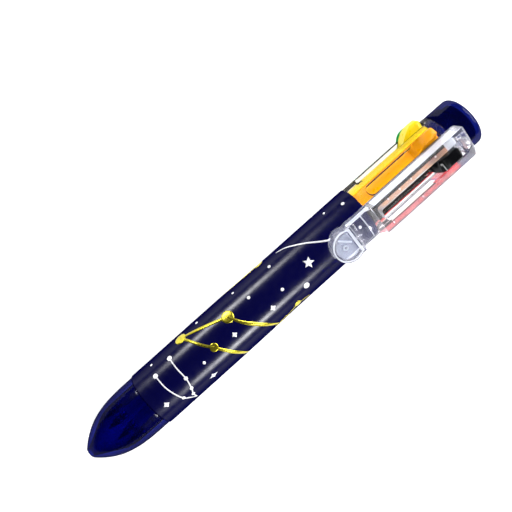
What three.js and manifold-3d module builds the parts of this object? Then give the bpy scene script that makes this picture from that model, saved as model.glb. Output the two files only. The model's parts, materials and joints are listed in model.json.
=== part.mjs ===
// Eight-colour click pen: a navy barrel, a see-through upper body with eight sliders, eight
// spring-loaded refills that share one nose hole, and a clear spring clip that one slider passes
// through. Millimetres, +Z up. The pen lies on the table on its barrel and on two slider tabs.
//
// Each piece is drawn on the pen's own axis: +X runs from the nose tip to the cap, and +Z is the
// piece's outward direction. Stations are distances from the nose tip.

import * as THREE from 'three';
import { mergeVertices } from 'three/addons/utils/BufferGeometryUtils.js';
import Module from 'manifold-3d';

const wasm = await Module();
wasm.setup();

// Driving dimensions: the casing
const PEN_LENGTH = 138.2;
const TIP_RADIUS = 1.6;
const TIP_HOLE_RADIUS = 1.15;
const NOSE_END = 21.7;
const NOSE_RADIUS = 7.94;
const NOSE_FULLNESS = 3.4;
const FUNNEL_SLOPE = 0.525;
const NOSE_WALL = 1.1;
const MOUTH_WALL_SHARE = 0.4;
const MOUTH_LENGTH = 5;
const SEAM = 0.2;
const THREAD_LENGTH = 5.2;
const BARREL_RADIUS = 8.2;
const BARREL_TOP_RADIUS = 7.98;
const BARREL_END = 99;
const BARREL_BORE = 7.2;
const LEDGE_START = 76;
const LEDGE_END = 78;
const BODY_RADIUS = 7.75;
const BODY_TOP_RADIUS = 7.65;
const BODY_BORE = 6.5;
const BODY_END = 129.4;
const SPIGOT_START = 88;
const SPIGOT_RADIUS = 7.1;
const NECK_RADIUS = 7;
const NECK_END = 133.6;
const CAP_START = 129.6;
const CAP_RADIUS = 7.6;
const CAP_BORE = 7.1;

// Driving dimensions: the mechanism
const COLOURS = ['black', 'red', 'magenta', 'blue', 'brown', 'green', 'yellow', 'orange'];
const REFILL_RING = 4.85;
const TRAVEL = 11.5;
const SLOT_WIDTH = 3.4;
const SLOT_START = 102.5;
const SLOT_END = 127.5;
const BAR_START = 99;
const BAR_END = 127.2;
const BAR_INNER = 4.05;
const BAR_OUTER = 6.35;
const BAR_STEP = 5.4;
const STEM_HALF_ANGLE = THREE.MathUtils.degToRad(16.5);
const HEAD_HALF_ANGLE = THREE.MathUtils.degToRad(21.6);
const TAB_START = 118.2;
const TAB_WIDTH = 3;
const TAB_RADIUS = 9.95;
const TAB_PEAK = 125.2;
const BLACK_TAB_WIDTH = 3.5;
const BLACK_TAB_RADIUS = 13.8;
const PEG_RADIUS = 0.75;
const PEG_START = 95;
const DISC_START = 78.1;
const DISC_END = 80;
const SPRING_TURNS = 6;
const SPRING_RADIUS = 1.42;
const WIRE_RADIUS = 0.12;
const TUBE_RADIUS = 1.2;
const TUBE_BORE = 0.85;
const TUBE_START = 25.2;
const HOLDER_START = 15.6;
const HOLDER_RADIUS = 1.45;
const TIP_START = 9.2;
const METAL_TIP_RADIUS = 1.05;

// Driving dimensions: the clip
const CLIP_WIDTH = 8.8;
const CLIP_TOP = 12.1;
const CLIP_FLOOR = 7.5;
const CLIP_END = 132.2;
const SADDLE_RADIUS = 8.3;
const ROOT_SADDLE_RADIUS = 7.85;
const NECK_TOP = 9.6;
const WINDOW_START = 100.9;
const WINDOW_END = 128.2;
const WINDOW_WIDTH = 3.9;
const PAD_START = 84.1;
const PAD_RADIUS = 4.6;
const PAD_TOP = 11.2;
const RIDGE_START = 90.6;
const RIDGE_END = 91.8;
const BOX_START = 99.1;

// Running clearance between pieces, and how the pen lies on the table
const GAP = 0.1;
const PITCH = (2 * Math.PI) / COLOURS.length;
const ROLL = PITCH / 2;
const TAB_DEPTH = TAB_RADIUS * Math.cos(ROLL) + 0.25;
const LEAN = Math.atan((TAB_DEPTH - BARREL_RADIUS) / (TAB_PEAK - NOSE_END));
const ROUND = 40;
const SMALL_ROUND = 12;

const penColours = {
  black: 0x15151a,
  red: 0xd8121c,
  magenta: 0xb01486,
  blue: 0x1440c8,
  brown: 0x8a5a34,
  green: 0x0f9a3c,
  yellow: 0xf5dc00,
  orange: 0xffa000,
};

// Finishes
function plastic(colour, roughness = 0.3, opacity = 1) {
  return new THREE.MeshStandardMaterial({
    color: colour, roughness, metalness: 0, opacity, transparent: opacity < 1,
  });
}

function metal(colour, roughness) {
  return new THREE.MeshStandardMaterial({ color: colour, roughness, metalness: 1 });
}

// Solids: geometry to manifold and back
function toSolid(geometry) {
  const bare = geometry.index ? geometry.toNonIndexed() : geometry.clone();
  bare.deleteAttribute('normal');
  bare.deleteAttribute('uv');
  const merged = mergeVertices(bare, 1e-4);
  const mesh = new wasm.Mesh({
    numProp: 3,
    vertProperties: new Float32Array(merged.attributes.position.array),
    triVerts: new Uint32Array(merged.index.array),
  });
  return new wasm.Manifold(mesh);
}

function toGeometry(solid) {
  const mesh = solid.getMesh();
  const geometry = new THREE.BufferGeometry();
  geometry.setAttribute('position', new THREE.BufferAttribute(mesh.vertProperties, 3));
  geometry.setIndex(new THREE.BufferAttribute(mesh.triVerts, 1));
  geometry.computeVertexNormals();
  return geometry;
}

function points(pairs) {
  return pairs.map(([a, b]) => new THREE.Vector2(a, b));
}

// A solid of revolution about the pen's axis, from [station, radius] pairs that run up the outside
function turned(profile, segments = ROUND) {
  const outline = points(profile.map(([station, radius]) => [radius, station]));
  return toSolid(new THREE.LatheGeometry(outline, segments).rotateZ(-Math.PI / 2).rotateX(Math.PI / 2));
}

// A ring profile: the outside from nose to cap, the bore back again, closed
function ring(outside, bore) {
  return [...outside, ...bore, outside[0]];
}

// A side view in [station, height], as thick as width about the mid-plane
function slab(outline, width, offset = 0) {
  const geometry = new THREE.ExtrudeGeometry(new THREE.Shape(points(outline)), {
    depth: width, bevelEnabled: false,
  });
  return toSolid(geometry.rotateX(Math.PI / 2).translate(0, width / 2 + offset, 0));
}

// A plan view in [station, sideways], standing from height low to high
function standing(shape, low, high) {
  const geometry = new THREE.ExtrudeGeometry(shape, {
    depth: high - low, bevelEnabled: false, curveSegments: 8,
  });
  return toSolid(geometry.translate(0, 0, low));
}

// A cross-section in [sideways, height], running along the axis
function prism(shape, start, end, curveSegments = 6) {
  const geometry = new THREE.ExtrudeGeometry(shape, {
    depth: end - start, bevelEnabled: false, curveSegments,
  });
  const basis = new THREE.Matrix4().makeBasis(
    new THREE.Vector3(0, 1, 0), new THREE.Vector3(0, 0, 1), new THREE.Vector3(1, 0, 0),
  );
  return toSolid(geometry.applyMatrix4(basis).translate(start, 0, 0));
}

function block(start, end, width, low, high, sideways = 0) {
  return slab([[start, low], [end, low], [end, high], [start, high]], width, sideways);
}

function peg(start, end, radius, height) {
  return turned([[start, 0], [start, radius], [end, radius], [end, 0]], SMALL_ROUND)
    .translate([0, 0, height]);
}

function around(solid, index) {
  return solid.rotate([THREE.MathUtils.radToDeg(index * PITCH), 0, 0]);
}

// Each mesh's place: the pieces of one colour turn about the axis to their own slot
function addPiece(parent, name, solid, material, index = 0) {
  const mesh = new THREE.Mesh(toGeometry(solid), material);
  mesh.name = name;
  mesh.rotation.x = index * PITCH;
  parent.add(mesh);
}

// Nose cone: an ogee shell with a funnel inside that leads each tip to the one hole
function noseOutside(station) {
  const left = 1 - station / NOSE_END;
  return NOSE_RADIUS - (NOSE_RADIUS - TIP_RADIUS) * left ** NOSE_FULLNESS;
}

function noseBore(station) {
  const funnel = TIP_HOLE_RADIUS + FUNNEL_SLOPE * station;
  const wall = NOSE_WALL * Math.min(1, MOUTH_WALL_SHARE + station / MOUTH_LENGTH);
  return Math.min(funnel, noseOutside(station) - wall, BODY_BORE - GAP);
}

function makeNose() {
  const outside = [0, 0.5, 1.2, 2.2, 3.4, 4.8, 6.4, 8.2, 10.4, 13, 16.5, NOSE_END];
  const bore = [NOSE_END + THREAD_LENGTH, 11.6, 10.2, 8.7, 0];
  const profile = outside.map((station) => [station, noseOutside(station)]);
  profile.push([NOSE_END, SPIGOT_RADIUS], [NOSE_END + THREAD_LENGTH, SPIGOT_RADIUS]);
  return turned(ring(profile, bore.map((station) => [station, noseBore(Math.min(station, NOSE_END))])));
}

// Barrel: a slightly waisted tube with a ledge inside that carries the spring seat
function makeBarrel() {
  const start = NOSE_END + SEAM;
  const outside = [
    [start, BARREL_RADIUS - 0.2], [start + 0.3, BARREL_RADIUS], [45, BARREL_RADIUS],
    [65, BARREL_TOP_RADIUS + 0.04], [BARREL_END - 0.3, BARREL_TOP_RADIUS],
    [BARREL_END, BARREL_TOP_RADIUS - 0.2],
  ];
  const bore = [
    [BARREL_END, BARREL_BORE], [LEDGE_END, BARREL_BORE], [LEDGE_END, BODY_BORE + GAP],
    [LEDGE_START, BODY_BORE + GAP], [LEDGE_START, BARREL_BORE], [start, BARREL_BORE],
  ];
  return turned(ring(outside, bore));
}

// Upper body: a clear tube with one slot for each slider
function makeUpperBody() {
  const collar = BARREL_END + GAP;
  const tube = turned(ring([
    [SPIGOT_START, SPIGOT_RADIUS], [collar, SPIGOT_RADIUS], [collar, BODY_RADIUS - 0.15],
    [collar + 0.3, BODY_RADIUS], [BODY_END, BODY_TOP_RADIUS], [BODY_END, NECK_RADIUS],
    [NECK_END, NECK_RADIUS],
  ], [[NECK_END, BODY_BORE], [SPIGOT_START, BODY_BORE]]));
  const half = SLOT_WIDTH / 2;
  const slot = new THREE.Shape()
    .moveTo(SLOT_END, -half)
    .lineTo(SLOT_END, half)
    .lineTo(SLOT_START + half, half)
    .absarc(SLOT_START + half, 0, half, Math.PI / 2, (3 * Math.PI) / 2);
  const cutter = standing(slot, BODY_BORE / 2, BODY_RADIUS + 1);
  return COLOURS.reduce((body, colour, index) => body.subtract(around(cutter, index)), tube);
}

// Core: the post that the sliders run along, with a fin between each two of them
function makeCorePost() {
  const wide = BAR_START + 2.3;
  const flange = BAR_END + 1;
  const post = turned([
    [DISC_START, 0], [DISC_START, 1.2], [DISC_END + GAP, 1.2], [DISC_END + GAP, 3.1], [wide, 3.1],
    [wide, BAR_INNER - 0.15], [flange, BAR_INNER - 0.15], [flange, BODY_BORE - GAP],
    [BODY_END, BODY_BORE - GAP], [BODY_END, 0],
  ]);
  const fin = block(wide, flange + 0.2, 0.5, 3, BAR_STEP - 0.15);
  return COLOURS.reduce((core, colour, index) => core.add(around(fin, index + 0.5)), post);
}

// Spring seat: a disc with a hole for each refill and one for the core's pin
function makeSpringSeat() {
  const disc = turned([
    [DISC_START, 0], [DISC_START, BARREL_BORE - GAP], [DISC_END, BARREL_BORE - GAP], [DISC_END, 0],
  ]);
  const hole = peg(DISC_START - 1, DISC_END + 1, TUBE_RADIUS + 0.15, REFILL_RING);
  const drilled = disc.subtract(peg(DISC_START - 1, DISC_END + 1, 1.3, 0));
  return COLOURS.reduce((seat, colour, index) => seat.subtract(around(hole, index)), drilled);
}

// Cap: a cup over the body's neck, with a pocket in its rim for the clip's lug
function makeCap() {
  const cup = turned([
    [CAP_START, CAP_RADIUS], [PEN_LENGTH - 1.6, CAP_RADIUS - 0.05],
    [PEN_LENGTH - 0.8, CAP_RADIUS - 0.25], [PEN_LENGTH - 0.25, CAP_RADIUS - 0.75],
    [PEN_LENGTH, CAP_RADIUS - 1.5], [PEN_LENGTH, 0], [PEN_LENGTH - 1.4, 0],
    [PEN_LENGTH - 1.4, 5.8], [NECK_END + 0.4, 5.8], [NECK_END + 0.4, CAP_BORE],
    [CAP_START, CAP_BORE], [CAP_START, CAP_RADIUS],
  ]);
  return cup.subtract(block(CLIP_END - 2.6, CLIP_END - 0.3, 3.6, CAP_BORE - 0.3, CAP_RADIUS + 1));
}

// Clip: a deep windowed arm from the cap, a neck curved round the barrel and a round dished pad
function makeClip() {
  const half = CLIP_WIDTH / 2;
  const corner = 1.6;
  const middle = PAD_START + PAD_RADIUS;
  const clear = CLIP_TOP + 2;
  const side = slab([
    [PAD_START, SADDLE_RADIUS], [PAD_START, PAD_TOP - 0.8], [PAD_START + 0.8, PAD_TOP],
    [RIDGE_END, PAD_TOP], [RIDGE_END + 0.2, CLIP_TOP], [WINDOW_END + 1, CLIP_TOP],
    [CLIP_END - 1.4, CLIP_TOP - 0.7], [CLIP_END, CLIP_TOP - 2.2], [CLIP_END, CLIP_FLOOR],
    [BOX_START, CLIP_FLOOR], [BOX_START - 0.6, CLIP_FLOOR - 0.6], [PAD_START + 1, CLIP_FLOOR - 0.6],
  ], 2 * PAD_RADIUS);
  const plan = new THREE.Shape()
    .moveTo(middle, -PAD_RADIUS)
    .lineTo(RIDGE_END, -half)
    .lineTo(CLIP_END - corner, -half)
    .lineTo(CLIP_END, corner - half)
    .lineTo(CLIP_END, half - corner)
    .lineTo(CLIP_END - corner, half)
    .lineTo(RIDGE_END, half)
    .lineTo(middle, PAD_RADIUS)
    .absarc(middle, 0, PAD_RADIUS, Math.PI / 2, (3 * Math.PI) / 2);
  const envelope = turned([
    [PAD_START - 1, 0], [PAD_START - 1, clear], [RIDGE_END, clear], [RIDGE_END + 1.2, NECK_TOP + 0.2],
    [94.6, NECK_TOP], [96.6, NECK_TOP + 0.1], [98.2, NECK_TOP + 0.8], [BOX_START, CLIP_TOP - 0.4],
    [BOX_START + 0.2, clear], [CLIP_END + 1, clear], [CLIP_END + 1, 0],
  ]);
  const step = WINDOW_END - 0.6;
  const saddle = turned([
    [PAD_START - 1, 0], [PAD_START - 1, SADDLE_RADIUS], [step, SADDLE_RADIUS],
    [step, ROOT_SADDLE_RADIUS], [CLIP_END + 1, ROOT_SADDLE_RADIUS], [CLIP_END + 1, 0],
  ]);
  const dish = new THREE.Shape()
    .moveTo(RIDGE_START, -3.2)
    .lineTo(RIDGE_START, 3.2)
    .absarc(middle, 0, PAD_RADIUS - 0.9, Math.PI / 3, (5 * Math.PI) / 3);
  const lug = block(CLIP_END - 2.3, CLIP_END - 0.7, 3, CAP_BORE + 0.15, SADDLE_RADIUS + 0.5);
  return side
    .intersect(standing(plan, 0, clear))
    .intersect(envelope)
    .subtract(saddle)
    .subtract(standing(dish, PAD_TOP - 0.9, clear))
    .subtract(block(WINDOW_START, WINDOW_END, WINDOW_WIDTH, 0, clear))
    .add(lug);
}

// Slider: a stepped bar under the wall, a tab out through the slot and a peg for the refill
function barArc(shape, radius, halfAngle, backwards = false) {
  const start = Math.PI / 2 + (backwards ? halfAngle : -halfAngle);
  const end = Math.PI / 2 + (backwards ? -halfAngle : halfAngle);
  return shape.absarc(0, 0, radius, start, end, backwards);
}

function makeSlider(isBlack) {
  const section = new THREE.Shape();
  barArc(section, BAR_OUTER, HEAD_HALF_ANGLE);
  const inside = new THREE.Vector2(BAR_STEP, 0);
  for (const angle of [HEAD_HALF_ANGLE, STEM_HALF_ANGLE]) {
    const corner = inside.clone().rotateAround(new THREE.Vector2(), Math.PI / 2 + angle);
    section.lineTo(corner.x, corner.y);
  }
  barArc(section, BAR_INNER, STEM_HALF_ANGLE, true);
  for (const angle of [-STEM_HALF_ANGLE, -HEAD_HALF_ANGLE]) {
    const corner = inside.clone().rotateAround(new THREE.Vector2(), Math.PI / 2 + angle);
    section.lineTo(corner.x, corner.y);
  }
  const stem = TAB_WIDTH / 2;
  const width = isBlack ? BLACK_TAB_WIDTH / 2 : stem;
  const top = isBlack ? BLACK_TAB_RADIUS : TAB_RADIUS;
  const crown = new THREE.Shape(points([
    [-stem, 5], [stem, 5], [stem, 8.4], [width, 8.7], [width, top - 1], [width - 0.4, top - 0.4],
    [width - 1.1, top + 0.05], [1.1 - width, top + 0.05], [0.4 - width, top - 0.4], [-width, top - 1],
    [-width, 8.7], [-stem, 8.4],
  ]));
  const tabEnd = TAB_PEAK + 1.8;
  const wedge = slab([
    [TAB_START, 6], [TAB_START + 0.6, 6.6], [119.8, 7.7], [121.4, 8.9], [122.8, 9.6],
    [TAB_PEAK - 1, top - 0.05], [TAB_PEAK, top], [TAB_PEAK + 1, top - 0.4], [tabEnd, 8.7], [tabEnd, 6],
  ], TAB_WIDTH);
  const tall = slab([
    [118.6, 6], [119.4, 8.6], [119.9, 11.6], [120.7, 12.9], [122.2, top - 0.2], [123.8, top],
    [125.7, top - 0.1], [126.8, top - 0.8], [BAR_END, top - 1.9], [BAR_END, 6],
  ], BLACK_TAB_WIDTH);
  const tab = (isBlack ? tall : wedge).intersect(prism(crown, TAB_START - 1, WINDOW_END));
  const pin = peg(PEG_START, BAR_START + 0.5, PEG_RADIUS, REFILL_RING);
  return prism(section, BAR_START, BAR_END).add(tab).add(pin);
}

// Return spring: a helix about the refill, between the spring seat and the slider's foot
class Helix extends THREE.Curve {
  getPoint(t, target = new THREE.Vector3()) {
    const angle = 2 * Math.PI * SPRING_TURNS * t;
    const low = DISC_END + GAP + WIRE_RADIUS;
    const high = BAR_START - GAP - WIRE_RADIUS;
    return target.set(
      low + (high - low) * t,
      SPRING_RADIUS * Math.cos(angle),
      REFILL_RING + SPRING_RADIUS * Math.sin(angle),
    );
  }
}

function makeSpring() {
  const wire = new THREE.Shape(points([
    [WIRE_RADIUS, 0], [0, WIRE_RADIUS], [-WIRE_RADIUS, 0], [0, -WIRE_RADIUS],
  ]));
  return toSolid(new THREE.ExtrudeGeometry(wire, { steps: SPRING_TURNS * 10, extrudePath: new Helix() }));
}

// Refill: an ink tube, a white holder pushed into it and a metal writing tip
function makeTube() {
  const end = BAR_START - GAP;
  return turned(ring(
    [[TUBE_START, TUBE_RADIUS], [end, TUBE_RADIUS]], [[end, TUBE_BORE], [TUBE_START, TUBE_BORE]],
  ), SMALL_ROUND).translate([0, 0, REFILL_RING]);
}

function makeHolder() {
  const shoulder = TUBE_START - GAP;
  return turned([
    [HOLDER_START, 0.85], [HOLDER_START, HOLDER_RADIUS - 0.25], [HOLDER_START + 0.5, HOLDER_RADIUS],
    [shoulder, HOLDER_RADIUS], [shoulder, PEG_RADIUS], [shoulder + 4, PEG_RADIUS], [shoulder + 4, 0],
    [HOLDER_START + 3.4, 0], [HOLDER_START + 3.4, 0.85], [HOLDER_START, 0.85],
  ], SMALL_ROUND).translate([0, 0, REFILL_RING]);
}

function makeTip() {
  const collar = HOLDER_START - GAP;
  return turned([
    [TIP_START, 0], [TIP_START, 0.3], [TIP_START + 1.1, 0.5], [TIP_START + 2.6, METAL_TIP_RADIUS],
    [collar, METAL_TIP_RADIUS], [collar, PEG_RADIUS], [collar + 3, PEG_RADIUS], [collar + 3, 0],
  ], SMALL_ROUND).translate([0, 0, REFILL_RING]);
}

// Assembly
const NAVY_SHELL = plastic(0x0a1580, 0.2, 0.7);
const CLEAR = plastic(0xdfe4ea, 0.12, 0.35);
const WHITE = plastic(0xeceae4, 0.45);

const pen = new THREE.Group();
addPiece(pen, 'nose_cone', makeNose(), NAVY_SHELL);
addPiece(pen, 'barrel', makeBarrel(), plastic(0x0c0a48, 0.18));
addPiece(pen, 'upper_body', makeUpperBody(), CLEAR);
addPiece(pen, 'core_post', makeCorePost(), WHITE.clone());
addPiece(pen, 'spring_seat', makeSpringSeat(), WHITE.clone());
addPiece(pen, 'end_cap', makeCap(), NAVY_SHELL.clone());
addPiece(pen, 'clip', makeClip(), CLEAR.clone());

COLOURS.forEach((colour, index) => {
  const ink = penColours[colour];
  addPiece(pen, `slider_${colour}`, makeSlider(colour === 'black'), plastic(ink, 0.32), index);
  addPiece(pen, `spring_${colour}`, makeSpring(), metal(0xc4c6ca, 0.3), index);
  addPiece(pen, `refill_tube_${colour}`, makeTube(), plastic(ink, 0.35, 0.9), index);
  addPiece(pen, `tip_holder_${colour}`, makeHolder(), WHITE.clone(), index);
  addPiece(pen, `refill_tip_${colour}`, makeTip(), metal(0xd0d0d0, 0.25), index);
});

// The clip's side is rolled half a slot from straight up, so that two tabs touch the table
const rolled = new THREE.Group();
rolled.rotation.x = ROLL;
rolled.add(pen);
const group = new THREE.Group();
group.rotation.y = -LEAN;
group.add(rolled);
const stand = new THREE.Group();
stand.add(group);
stand.updateMatrixWorld(true);
const box = new THREE.Box3().setFromObject(stand, true);
const middle = box.getCenter(new THREE.Vector3());
stand.position.set(-middle.x, -middle.y, -box.min.z);

export default stand;
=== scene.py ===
"""An eight-colour click pen lying on a pale table: finer pieces, finishes, print, light and camera."""

import json
import math

import bmesh
import bpy
from mathutils import Matrix, Vector


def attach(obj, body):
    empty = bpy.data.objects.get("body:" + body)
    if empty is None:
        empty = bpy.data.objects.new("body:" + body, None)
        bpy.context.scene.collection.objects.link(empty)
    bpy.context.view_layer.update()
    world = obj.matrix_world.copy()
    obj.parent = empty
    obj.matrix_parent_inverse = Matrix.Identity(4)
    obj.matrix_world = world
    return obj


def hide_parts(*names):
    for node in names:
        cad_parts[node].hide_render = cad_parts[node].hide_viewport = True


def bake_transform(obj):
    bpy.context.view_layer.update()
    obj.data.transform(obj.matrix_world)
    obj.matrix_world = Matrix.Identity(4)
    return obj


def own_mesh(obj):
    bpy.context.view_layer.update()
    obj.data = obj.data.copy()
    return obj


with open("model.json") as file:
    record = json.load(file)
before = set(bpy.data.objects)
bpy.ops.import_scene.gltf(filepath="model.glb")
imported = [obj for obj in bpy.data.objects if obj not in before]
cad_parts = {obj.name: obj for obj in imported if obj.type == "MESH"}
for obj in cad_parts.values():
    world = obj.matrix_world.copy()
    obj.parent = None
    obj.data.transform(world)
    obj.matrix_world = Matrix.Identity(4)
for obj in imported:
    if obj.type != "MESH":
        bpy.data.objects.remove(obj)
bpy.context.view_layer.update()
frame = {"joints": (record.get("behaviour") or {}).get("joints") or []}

MM = 0.001
COLOURS = ["black", "red", "magenta", "blue", "brown", "green", "yellow", "orange"]
PITCH = 2 * math.pi / len(COLOURS)

# The pen's own axis: X from the nose tip to the cap, Z towards the clip, millimetres
NOSE_END = 21.7
joints = {joint["name"]: joint for joint in frame["joints"]}
AXIS = Vector(joints["nose_unscrew"]["axis"]).normalized()
UP = AXIS.cross(Vector(joints["clip_flex"]["axis"])).normalized()
SIDE = UP.cross(AXIS).normalized()
TIP = Vector(joints["nose_unscrew"]["pos_m"]) - AXIS * NOSE_END * MM
PEN = Matrix.Translation(TIP) @ Matrix((AXIS, SIDE, UP)).transposed().to_4x4() @ Matrix.Scale(MM, 4)

# Sizes repeated from the design, in millimetres
PEN_LENGTH = 138.2
TIP_RADIUS, NOSE_RADIUS, NOSE_FULLNESS = 1.6, 7.94, 3.4
TIP_HOLE, FUNNEL_SLOPE, NOSE_WALL, NOSE_BORE = 1.15, 0.525, 1.1, 6.4
MOUTH_WALL_SHARE, MOUTH_LENGTH = 0.4, 5
THREAD_END, THREAD_RADIUS = 26.9, 7.1
BARREL_START, BARREL_END, EASE_START, EASE_LENGTH = 21.9, 99.0, 45, 30
SEAT_STOP_START, SEAT_STOP_END, SEAT_STOP_RADIUS = 76, 78, 6.6
BARREL_RADIUS, BARREL_TOP_RADIUS, BARREL_BORE = 8.2, 7.98, 7.2
COLLAR, BODY_END, NECK_END = 99.1, 129.4, 133.6
BODY_RADIUS, BODY_TOP_RADIUS, BODY_BORE, NECK_RADIUS = 7.75, 7.65, 6.5, 7.0
SPIGOT_START, SPIGOT_RADIUS = 88.0, 7.1
SLOT_WIDTH, SLOT_START, SLOT_END = 3.4, 102.5, 127.5
CAP_START, CAP_RADIUS, CAP_BORE = 129.6, 7.6, 7.1
REFILL_RING, TRAVEL = 4.85, 11.5
BAR_START, BAR_END, BAR_INNER, BAR_STEP, BAR_OUTER = 99.0, 127.2, 4.05, 5.4, 6.35
STEM_ANGLE, HEAD_ANGLE = 16.5, 21.6
TAB_START, TAB_RADIUS, TAB_PEAK = 118.2, 9.95, 125.2
BLACK_TAB_RADIUS = 13.8
SEAT_BOTTOM, SEAT_TOP, SEAT_RADIUS = 78.1, 80.0, 7.1
SPRING_RADIUS, WIRE_RADIUS, SPRING_GAP = 1.42, 0.12, 0.1
POST_FOOT, POST_RADIUS, POST_GUIDE, POST_FLANGE, FLANGE_START = 1.2, 3.1, 3.9, 6.4, 128.2
GUIDE_SETBACK, FIN_WIDTH, FIN_END, FIN_GAP = 2.3, 0.5, 128.4, 0.15
TUBE_START, TUBE_END, TUBE_RADIUS, TUBE_BORE = 25.2, 98.9, 1.2, 0.85
BEND_START, BEND_END = 90, 60
CLIP_WIDTH, CLIP_TOP, CLIP_FLOOR, CLIP_END = 8.8, 12.1, 7.5, 132.2
SADDLE, ROOT_SADDLE, NECK_TOP, BOX_START = 8.3, 7.85, 9.6, 99.1
WINDOW_START, WINDOW_END, WINDOW_WIDTH = 100.9, 128.2, 3.9
PAD_START, PAD_RADIUS, PAD_TOP, RIDGE_START, RIDGE_END = 84.1, 4.6, 11.2, 90.6, 91.8


# Mesh helpers: everything is drawn on the pen's axis and then placed
def turned(profile, segments=96, closed=True, wave=None):
    """A solid of revolution from (station, radius) pairs.

    wave(number, angle) is what a point of that row of the profile adds to its radius."""
    bm = bmesh.new()
    rows = []
    for number, (station, radius) in enumerate(profile):
        if radius < 1e-6:
            rows.append([bm.verts.new((station, 0, 0))])
            continue
        row = []
        for k in range(segments):
            angle = 2 * math.pi * k / segments
            r = radius + (wave(number, angle) if wave else 0)
            row.append(bm.verts.new((station, r * math.sin(angle), r * math.cos(angle))))
        rows.append(row)
    pairs = list(zip(rows, rows[1:]))
    if closed:
        pairs.append((rows[-1], rows[0]))
    for low, high in pairs:
        for k in range(segments):
            n = (k + 1) % segments
            if len(low) == 1 and len(high) > 1:
                bm.faces.new((low[0], high[k], high[n]))
            elif len(high) == 1 and len(low) > 1:
                bm.faces.new((low[k], high[0], low[n]))
            elif len(low) > 1:
                bm.faces.new((low[k], high[k], high[n], low[n]))
    bmesh.ops.recalc_face_normals(bm, faces=bm.faces)
    return bm


def extruded(outline, low, high, place):
    """A straight solid: a closed outline of (a, b) pairs, and place(a, b, depth) to a point."""
    bm = bmesh.new()
    bottom = [bm.verts.new(place(a, b, low)) for a, b in outline]
    top = [bm.verts.new(place(a, b, high)) for a, b in outline]
    bm.faces.new(bottom)
    bm.faces.new(top)
    count = len(outline)
    for k in range(count):
        n = (k + 1) % count
        bm.faces.new((bottom[k], bottom[n], top[n], top[k]))
    bmesh.ops.recalc_face_normals(bm, faces=bm.faces)
    return bm


def slab(outline, width, sideways=0.0):
    """A side view in (station, height), as thick as width."""
    return extruded(outline, sideways - width / 2, sideways + width / 2, lambda s, h, y: (s, y, h))


def standing(outline, low, high):
    """A plan view in (station, sideways), standing from height low to high."""
    return extruded(outline, low, high, lambda s, y, h: (s, y, h))


def prism(outline, start, end):
    """A cross-section in (sideways, height), running from station start to end."""
    return extruded(outline, start, end, lambda y, h, s: (s, y, h))


def block(start, end, width, low, high, sideways=0.0):
    return slab([(start, low), (end, low), (end, high), (start, high)], width, sideways)


def peg(start, end, radius, height, segments=32):
    bm = turned([(start, 0), (start, radius), (end, radius), (end, 0)], segments, closed=False)
    bmesh.ops.translate(bm, verts=bm.verts, vec=(0, 0, height))
    return bm


def arc(centre, radius, start, end, count=10):
    """Points along an arc in a plane, in degrees."""
    out = []
    for k in range(count + 1):
        angle = math.radians(start + (end - start) * k / count)
        out.append((centre[0] + radius * math.cos(angle), centre[1] + radius * math.sin(angle)))
    return out


def loose(bm, index=0):
    """An object holding the shape, placed in its slot's direction."""
    turn = Matrix.Rotation(index * PITCH, 4, "X")
    bm.transform(PEN @ turn)
    mesh = bpy.data.meshes.new("shape")
    bm.to_mesh(mesh)
    bm.free()
    piece = bpy.data.objects.new("shape", mesh)
    bpy.context.scene.collection.objects.link(piece)
    return piece


def bake(piece):
    """Applies the modifiers."""
    graph = bpy.context.evaluated_depsgraph_get()
    mesh = bpy.data.meshes.new_from_object(piece.evaluated_get(graph))
    piece.modifiers.clear()
    old = piece.data
    piece.data = mesh
    bpy.data.meshes.remove(old)


def combine(piece, operation, *others):
    """Joins or cuts other shapes into piece."""
    for other in others:
        step = piece.modifiers.new("step", "BOOLEAN")
        step.operation = operation
        step.solver = "EXACT"
        step.object = other
    bake(piece)
    for other in others:
        bpy.data.objects.remove(other)
    return piece


def cut(piece, *others):
    return combine(piece, "DIFFERENCE", *others)


def join(piece, *others):
    return combine(piece, "UNION", *others)


def finish_piece(piece, name, body, node, material, edge=0.0, rounds=2, angle=38):
    """Rounds the edges, shades, names and hands the piece to its body."""
    piece.name = name
    piece.data.name = name
    if edge:
        bevel = piece.modifiers.new("edge", "BEVEL")
        bevel.width = edge * MM
        bevel.segments = rounds
        bevel.limit_method = "ANGLE"
        bevel.angle_limit = math.radians(angle)
    for face in piece.data.polygons:
        face.use_smooth = True
    normals = piece.modifiers.new("normals", "WEIGHTED_NORMAL")
    normals.keep_sharp = True
    bake(piece)
    piece.data.materials.clear()
    piece.data.materials.append(material)
    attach(piece, body)
    if node:
        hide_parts(node)
    return piece


# Material helpers
NOISE_RANGE = (0.35, 0.65)
# Texture scale and detail: streaks of flow, patches of gloss, grain of the skin
FLOW, FLOW_STRETCH = (180, 4), (0.25, 1, 1)
GLOSS, SKIN = (900, 5), (5200, 4)


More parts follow.
